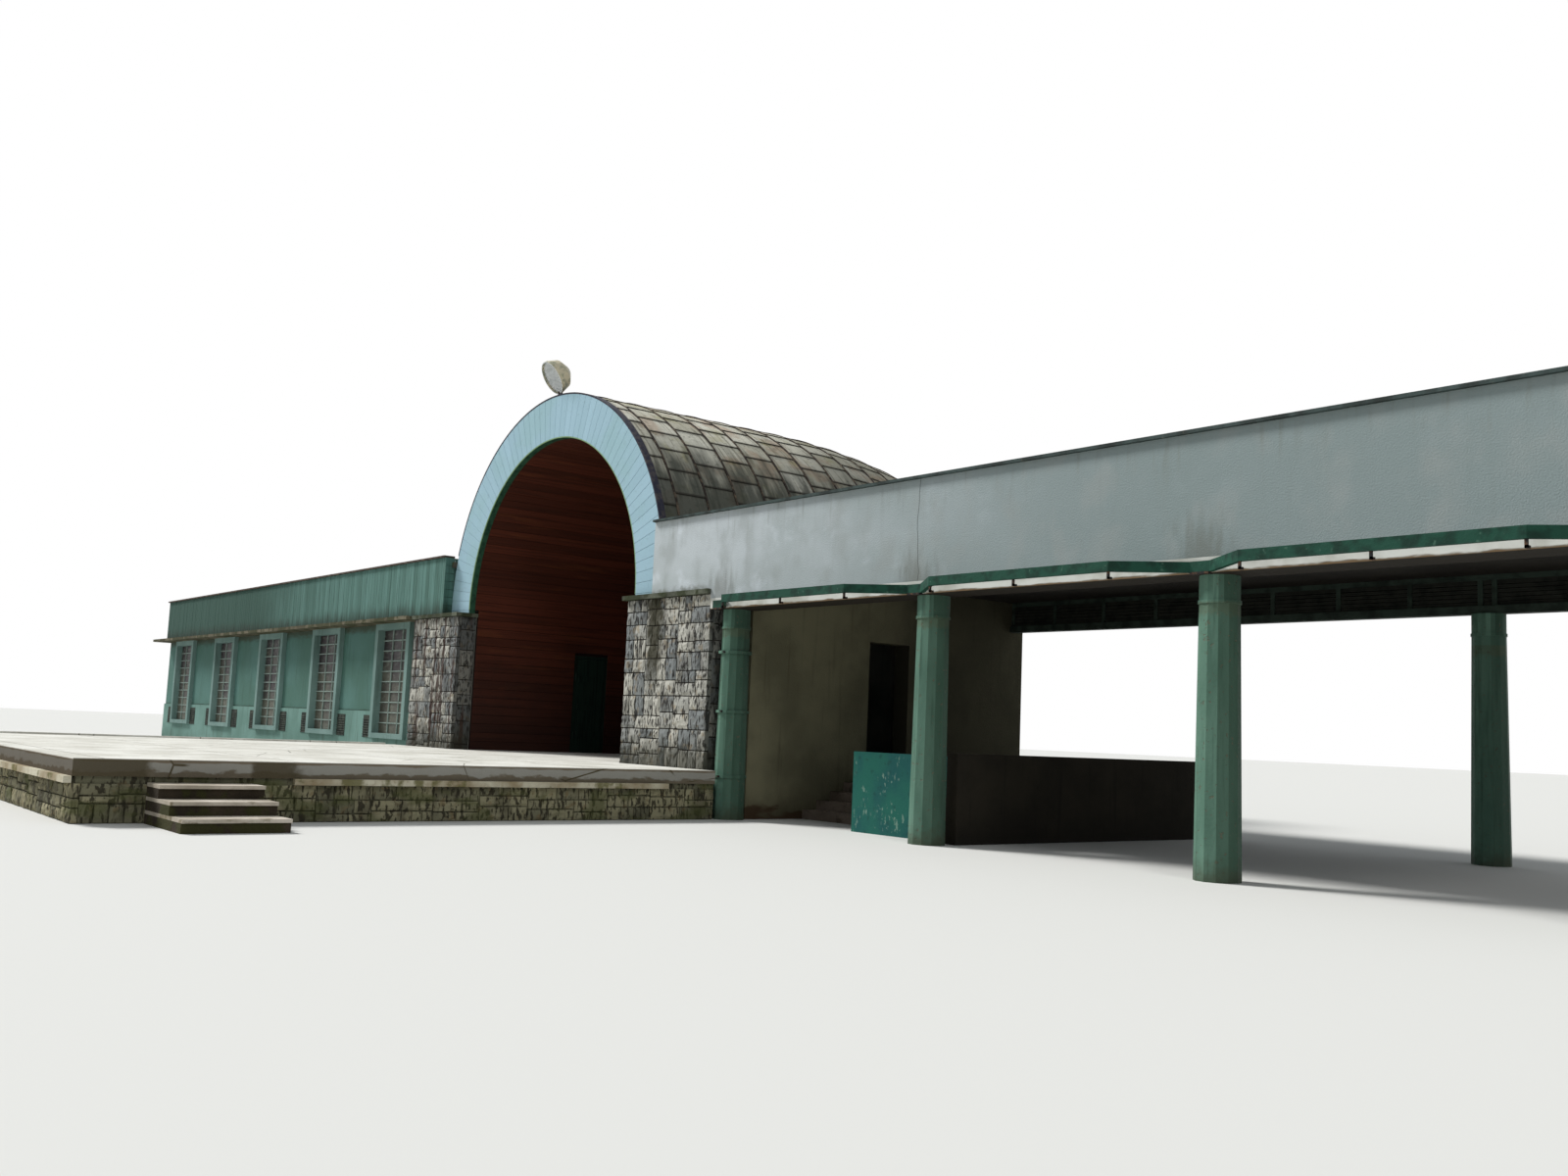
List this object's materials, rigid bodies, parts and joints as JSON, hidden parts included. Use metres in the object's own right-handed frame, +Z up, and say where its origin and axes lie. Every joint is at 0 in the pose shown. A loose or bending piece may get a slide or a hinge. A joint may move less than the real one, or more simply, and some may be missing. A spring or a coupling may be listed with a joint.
{
  "type": "1:2 scale model of a band shell",
  "caption": "1:2 scale model of a park band shell: round-arched vault over a raised stage, a windowed wing on one side and an open colonnade on the other.",
  "frame": {"origin": "on the ground under the middle of the arch, at the face line of the wings", "axes": "+X along the building towards the colonnade, +Y from the stage to the back of the shell, +Z up"},
  "size_m": [23.63, 9.65, 4.3543],
  "materials": {
    "rubble_stone": "squared rubble with dark joints",
    "mossy_concrete": "cast concrete with moss",
    "stage_concrete": "worn cast concrete",
    "pale_concrete": "precast concrete",
    "dark_plaster": "dark painted plaster",
    "pale_plaster": "stained plaster",
    "white_plaster": "white plaster with streaks",
    "green_plaster": "grey-green painted plaster",
    "plinth_plaster": "grey-green painted plaster",
    "green_columns": "grey-green painted concrete",
    "grey_coping": "grey cement",
    "dark_ceiling": "dark stained plaster",
    "blue_boards": "faded pale blue paint on boards",
    "green_trim": "worn green paint",
    "brown_boards": "dark red-brown boards",
    "green_boards": "faded green boards",
    "green_door": "dark green paint",
    "pale_wood": "flaking pale paint",
    "dark_panels": "dark louvred boards",
    "weathered_roofing": "weathered roof sheets",
    "dark_flashing": "dark sheet flashing",
    "lamp_enamel": "aged enamel",
    "dark_steel": "dark paint",
    "rail_green": "green paint",
    "frame_green": "grey-green paint",
    "panel_green": "green painted sheet",
    "clear_glass": "clear glass",
    "dirty_glass": "dusty glass"
  },
  "bodies": {
    "building": {"stage_base": "rubble_stone", "stage_ledge": "mossy_concrete", "stage_slab": "stage_concrete", "stage_kerb": "stage_concrete", "stage_steps": "dark_plaster", "stage_treads": "pale_concrete", "shell_floor": "stage_concrete", "shell_piers": "rubble_stone", "pier_caps": "mossy_concrete", "arch_ring": "blue_boards", "ring_flashing": "dark_flashing", "ring_trim": "green_trim", "vault_roof": "weathered_roofing", "vault_lining": "brown_boards", "lining_walls": "brown_boards", "back_lining": "brown_boards", "shell_side_walls": "pale_plaster", "shell_back_wall": "pale_plaster", "stage_door_frame": "brown_boards", "floodlight_head": "lamp_enamel", "floodlight_glass": "clear_glass", "floodlight_stub": "dark_steel", "left_front_wall": "green_plaster", "left_back_wall": "green_plaster", "left_end_wall": "green_plaster", "left_plinth": "plinth_plaster", "left_ledge": "mossy_concrete", "left_fascia": "green_boards", "left_flashing": "dark_flashing", "window_frames": "pale_wood", "window_glazing": "dirty_glass", "wing_floors": "stage_concrete", "wing_roofs": "weathered_roofing", "front_columns": "green_columns", "rear_columns": "green_columns", "column_bands": "green_trim", "right_lintel": "white_plaster", "right_fascia": "white_plaster", "right_coping": "grey_coping", "right_ceiling": "dark_ceiling", "awning_rail": "rail_green", "rear_frame": "frame_green", "rear_panels": "dark_panels", "side_room_walls": "pale_plaster", "terrace_floor": "stage_concrete", "terrace_steps": "stage_concrete", "terrace_panel": "panel_green", "terrace_wall": "dark_plaster"},
    "stage_door": {"stage_door": "green_door"}
  },
  "joints": [
    {"name": "stage_door_hinge", "type": "hinge", "parent": "building", "child": "stage_door", "pos_m": [-1.657, 1.3125, 0.39], "axis": [0, 0, -1], "range_deg": [0, 90]}
  ]
}
